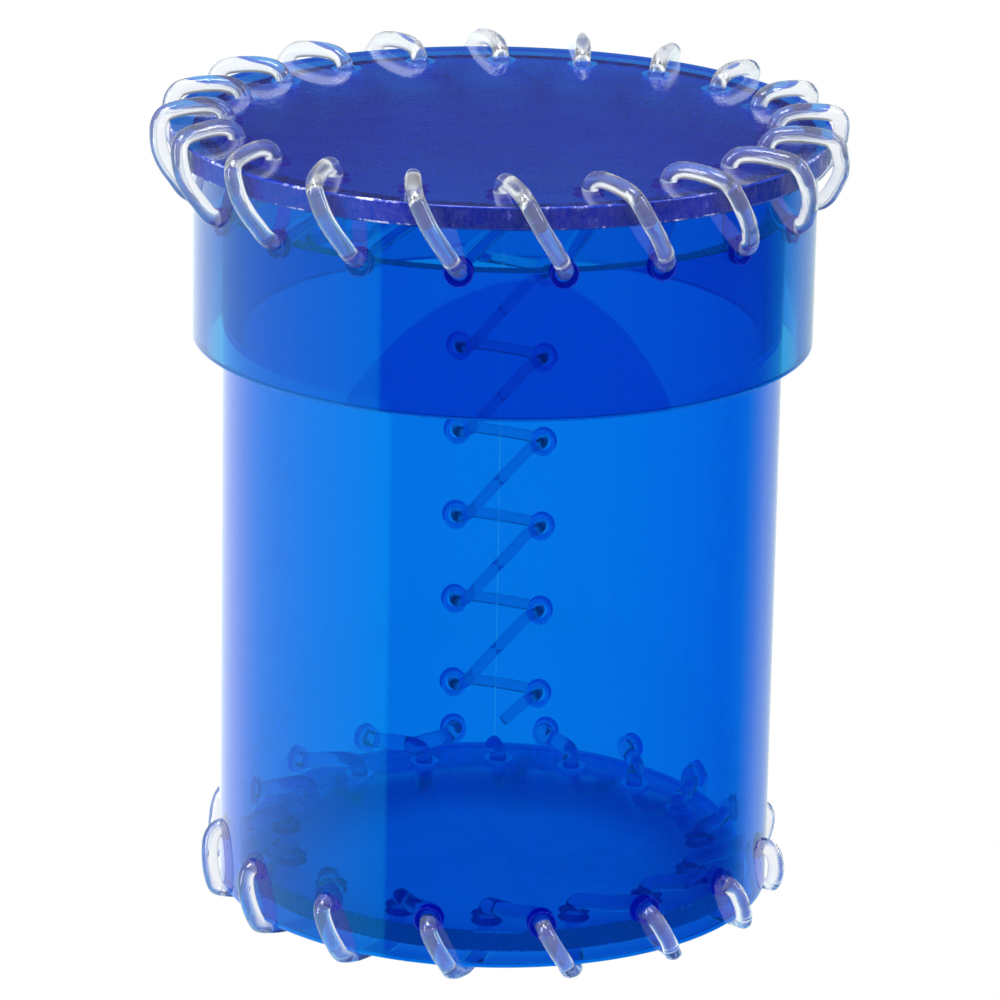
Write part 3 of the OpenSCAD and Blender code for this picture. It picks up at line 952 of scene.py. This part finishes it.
def make_cup(cord, thin, cut):
    gloss = (0.0, 0.05)
    blue = sheet_material("wall_sheet", WALL_TINT, 0.05, gloss, gloss)
    punches = []
    for k in range(BASE_STITCHES):
        bearing = base_bearing(k)
        punches.append((bearing, BASE_HOLE_Z + base_lift(WALL_R, bearing)))
    punches += CUP_SEAM.holes()
    wall = rolled_sheet("wall_panel", WALL_R, WALL_T, WALL_Z, WALL_H, CUP_SEAM, punches)
    give(wall, "cup", "cup_wall", "cup_sheet", blue, cut, [EDGE, RIM])

    scuffed = (0.1, 0.28)
    blue = sheet_material("base_sheet", BASE_TINT, 0.015, scuffed, scuffed, mottled, 0.99)
    spots = [polar(BASE_HOLE_R, base_bearing(k + 0.5) - BASE_LOWEST, 0).to_2d()
             for k in range(BASE_STITCHES)]
    turned = Matrix.Rotation(math.radians(BASE_LOWEST), 4, "Z")
    tilted = Matrix.Rotation(math.atan(BASE_RISE / WALL_R), 4, "X")
    lay = Matrix.Translation((0, 0, BASE_Z)) @ turned @ tilted
    base = disc_sheet("base_round", BASE_R, BASE_T, lay, spots, 0.15 * MM)
    give(base, "cup", "cup_base", "base_sheet", blue, cut, [EDGE, RIM, BEVEL])

    lace = cord_object("base_whipping", base_lace_route(), CORD_R, behind(WALL_R - 0.2 * MM, DISC_Z))
    give(lace, "cup", "base_lace", "whipping_cord", *cord, [COVERED])

    seam = cord_object("seam_zigzag", seam_lace_route(CUP_SEAM), SEAM_CORD_R,
                       behind(WALL_R, DISC_Z), 16)
    give(seam, "cup", "cup_seam_lace", "seam_cord", *thin, [COVERED])


def make_lid(cord, thin, cut):
    gloss = (0.02, 0.12)
    # The band's outer face carries the painted darker contact shade.
    blue = sheet_material("band_sheet", BAND_TINT, 0.05, gloss, gloss, contact_patch)
    punches = [(band_bearing(k), BAND_HOLE_Z) for k in range(LID_STITCHES)]
    punches += LID_SEAM.holes()
    band = rolled_sheet("band_panel", BAND_R, BAND_T, BAND_Z, BAND_H, LID_SEAM, punches)
    give(band, "lid", "lid_band", "band_sheet", blue, cut, [EDGE, RIM])

    blue = sheet_material("disc_sheet", DISC_TINT, 0.03, (0.04, 0.22), (0.25, 0.45), mottled, 0.99)
    spots = [polar(DISC_HOLE_R, disc_bearing(k), 0).to_2d() for k in range(LID_STITCHES)]
    lay = Matrix.Translation((DISC_X, 0, DISC_Z))
    disc = disc_sheet("lid_round", DISC_R, DISC_TOP - DISC_Z, lay, spots, 0.25 * MM)
    give(disc, "lid", "lid_disc", "disc_sheet", blue, cut, [EDGE, RIM, BEVEL])

    lace = cord_object("lid_whipping", lid_lace_route(), CORD_R, behind(BAND_R, DISC_TOP - 0.1 * MM))
    give(lace, "lid", "lid_rim_lace", "whipping_cord", *cord, [COVERED])

    seam = cord_object("lid_seam_zigzag", seam_lace_route(LID_SEAM), SEAM_CORD_R,
                       behind(BAND_R, DISC_Z), 16)
    give(seam, "lid", "lid_seam_lace", "seam_cord", *thin, [COVERED])


make_camera()
make_studio()
set_colour_and_light_paths()
# Each cord has two materials: in the open, and behind or inside a sheet, where a darker blue copy
# paints the shade and tint the sheet casts on it.
whipping = (cord_material("clear_cord", (0.88, 0.93, 0.99, 1), (0.97, 0.99, 1, 1), 0.955, 1.48),
            cord_material("cord_painted_shade", (0.4, 0.55, 0.85, 1), (0.55, 0.7, 0.92, 1), 1.0, 1.15))
seam_lace = (cord_material("thin_cord", (0.65, 0.73, 0.88, 1), (0.82, 0.88, 0.96, 1), 0.96, 1.42),
             cord_material("thin_cord_painted_shade", (0.5, 0.62, 0.83, 1), (0.62, 0.76, 0.9, 1), 1.0,
                           1.18))
# The cup's cut edges get a stronger painted glow, which brightens the base disc's ring.
make_cup(whipping, seam_lace, cut_material("cup_cut", 0.3))
make_lid(whipping, seam_lace, cut_material("lid_cut", 0.03))
